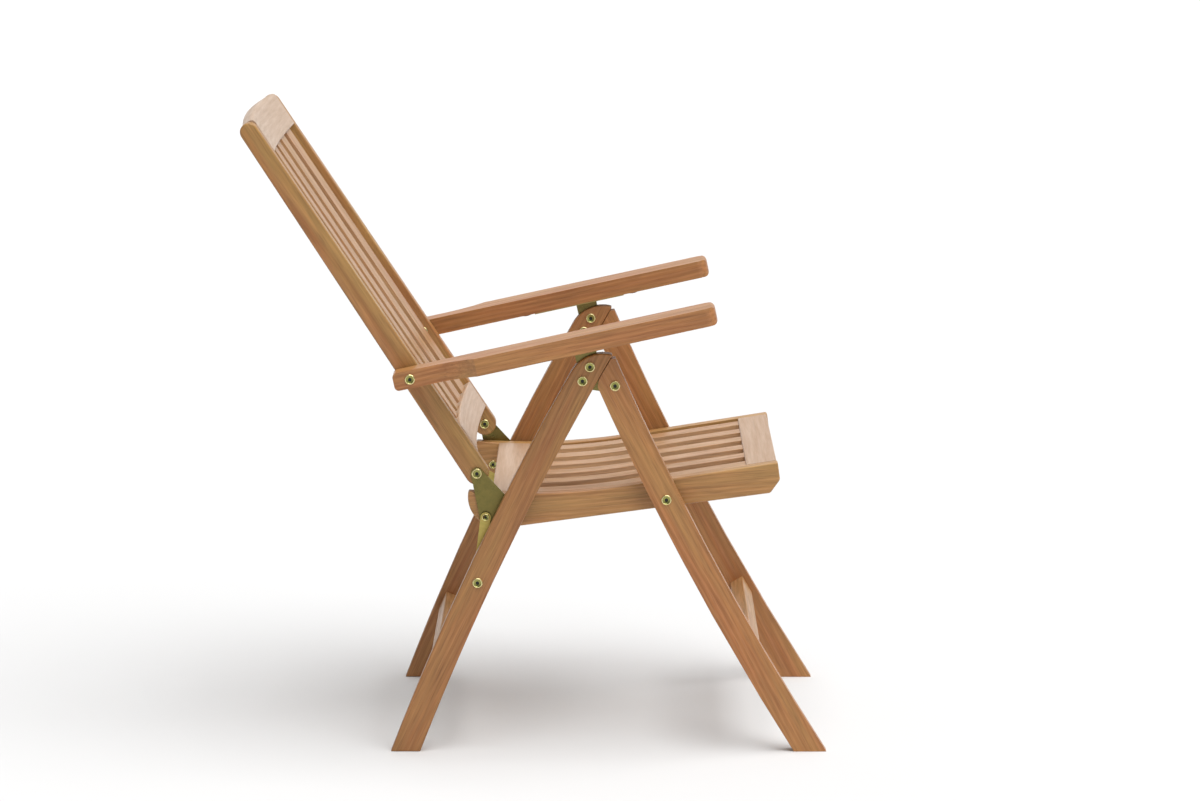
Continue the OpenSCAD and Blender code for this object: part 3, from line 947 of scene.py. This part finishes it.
        # inset each ring in turn, then lift or sink what it holds
        for inset, lift in ((0.5, 0.7), (0.5, 0.3), (0.8, 0.0), (0.5, -0.55), (1.4, -0.6), (1.3, -0.3)):
            bpy.ops.mesh.inset(thickness=inset * scale * MM)
            bpy.ops.transform.translate(value=(0, 0, lift * MM))
        mesh = bmesh.from_edit_mesh(obj.data)
        for vert in mesh.verts:
            if vert.select:
                self._to_hexagon(vert, 2.9 * scale * MM)
        bmesh.update_edit_mesh(obj.data)
        bpy.ops.mesh.extrude_region_move(TRANSFORM_OT_translate={"value": (0, 0, -0.65 * MM)})
        bpy.ops.object.mode_set(mode="OBJECT")
        ease_edges(obj, 0.14 * MM, lambda edge: edge.calc_face_angle(0.0) > 0.6, 2)
        # slot 1 paints shade into the hexagon hole, and slot 2 paints the cup's darker shade and reflection
        for face in obj.data.polygons:
            out_mm = math.hypot(face.center.x, face.center.y) / scale / MM
            if face.center.z > 0.05 * MM and out_mm < 5.9:
                face.material_index = 1 if out_mm < 2.95 else 2
        outward = out == (side is Side.LEFT)
        obj.rotation_euler = (-math.pi / 2 if outward else math.pi / 2, 0, 0)
        obj.location = (spot.x, side.value * y * MM, spot.z)
        return settle(obj)

    @staticmethod
    def _to_hexagon(vert: bmesh.types.BMVert, radius: float) -> None:
        """Moves a point of a circle onto a hexagon.

        Args:
            vert: The point.
            radius: The hexagon's corner radius.
        """
        turn = math.atan2(vert.co.y, vert.co.x)
        part = (turn + math.pi / 6) % (math.pi / 3) - math.pi / 6
        far = radius * math.cos(math.pi / 6) / math.cos(part)
        vert.co.x, vert.co.y = far * math.cos(turn), far * math.sin(turn)


@dataclass
class Studio:
    """A plain pale floor, soft light all round and the camera."""

    shop: Workshop
    lens_mm: float = 125.11
    behind_apex: float = 0.0191
    aside: float = 6.6246
    height: float = 1.665
    down_deg: float = 9.847
    floor_white: str = "DADADA"

    def build(self) -> None:
        """Sets up the camera, the light and the floor."""
        self._camera()
        self._light()
        self._floor()

    def _camera(self) -> None:
        """Places the camera."""
        deselect()
        place = (self.shop.pivot("fold").x - self.behind_apex, -self.aside, self.height)
        bpy.ops.object.camera_add(location=place, rotation=(math.radians(90 - self.down_deg), 0, 0))
        camera = bpy.context.object
        camera.data.lens = self.lens_mm
        camera.data.sensor_width = 36.0
        camera.data.shift_x = -0.00223
        bpy.context.scene.camera = camera

    def _light(self) -> None:
        """Lights the chair: a pale room, a broad sun overhead, a soft box in front, a pale wall behind."""
        world = bpy.data.worlds.new("pale_room")
        bpy.context.scene.world = world
        world.use_nodes = True
        world.node_tree.nodes["Background"].inputs["Color"].default_value = (1.0, 1.0, 1.0, 1.0)
        world.node_tree.nodes["Background"].inputs["Strength"].default_value = 0.32
        deselect()
        bpy.ops.object.light_add(type="SUN", location=(0.6, -0.8, 3.0))
        sun = bpy.context.object
        sun.name = "overhead_sun"
        sun.data.energy = 3.5
        sun.data.angle = math.radians(60)
        sun.rotation_euler = Vector((-0.26, 0.22, -1.0)).to_track_quat("-Z", "Y").to_euler()
        deselect()
        where = Vector((2.8, -3.4, 1.6))
        bpy.ops.object.light_add(type="AREA", location=where)
        box = bpy.context.object
        box.name = "front_box"
        box.data.size = 1.6
        box.data.energy = 10.0
        box.rotation_euler = (Vector((0.0, 0.0, 0.5)) - where).to_track_quat("-Z", "Y").to_euler()
        deselect()
        where = Vector((0.4, 17.0, 6.5))
        bpy.ops.object.light_add(type="AREA", location=where, rotation=(-math.pi / 2, 0, 0))
        wall = bpy.context.object
        wall.name = "pale_wall"
        wall.data.shape = "RECTANGLE"
        wall.data.size = 40.0
        wall.data.size_y = 13.0
        wall.data.energy = 1150.0
        wall.visible_camera = False
        bpy.context.scene.view_settings.view_transform = "Standard"

    def _floor(self) -> None:
        """Lays the floor, with a faint tooth to its paint."""
        deselect()
        bpy.ops.mesh.primitive_plane_add(size=80.0)
        floor = bpy.context.object
        floor.name = "floor"
        material = bpy.data.materials.new("matt_white_paint")
        material.use_nodes = True
        shader = material.node_tree.nodes["Principled BSDF"]
        shader.inputs["Base Color"].default_value = linear(self.floor_white)
        shader.inputs["Roughness"].default_value = 0.9
        shader.inputs["Specular IOR Level"].default_value = 0.1
        floor.data.materials.append(material)


def main() -> None:
    """Builds the armchair's pieces in order, then the studio."""
    logging.basicConfig(level=logging.INFO, format="%(name)s: %(message)s")
    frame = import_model()
    shop = Workshop(frame)
    for assembly in (Legs(shop), Seat(shop), Back(shop), Arms(shop), Fasteners(shop)):
        LOG.info("building %s", type(assembly).__name__)
        assembly.build()
    Studio(shop).build()
    LOG.info("%d pieces made", shop.made)


if __name__ == "__main__":
    main()
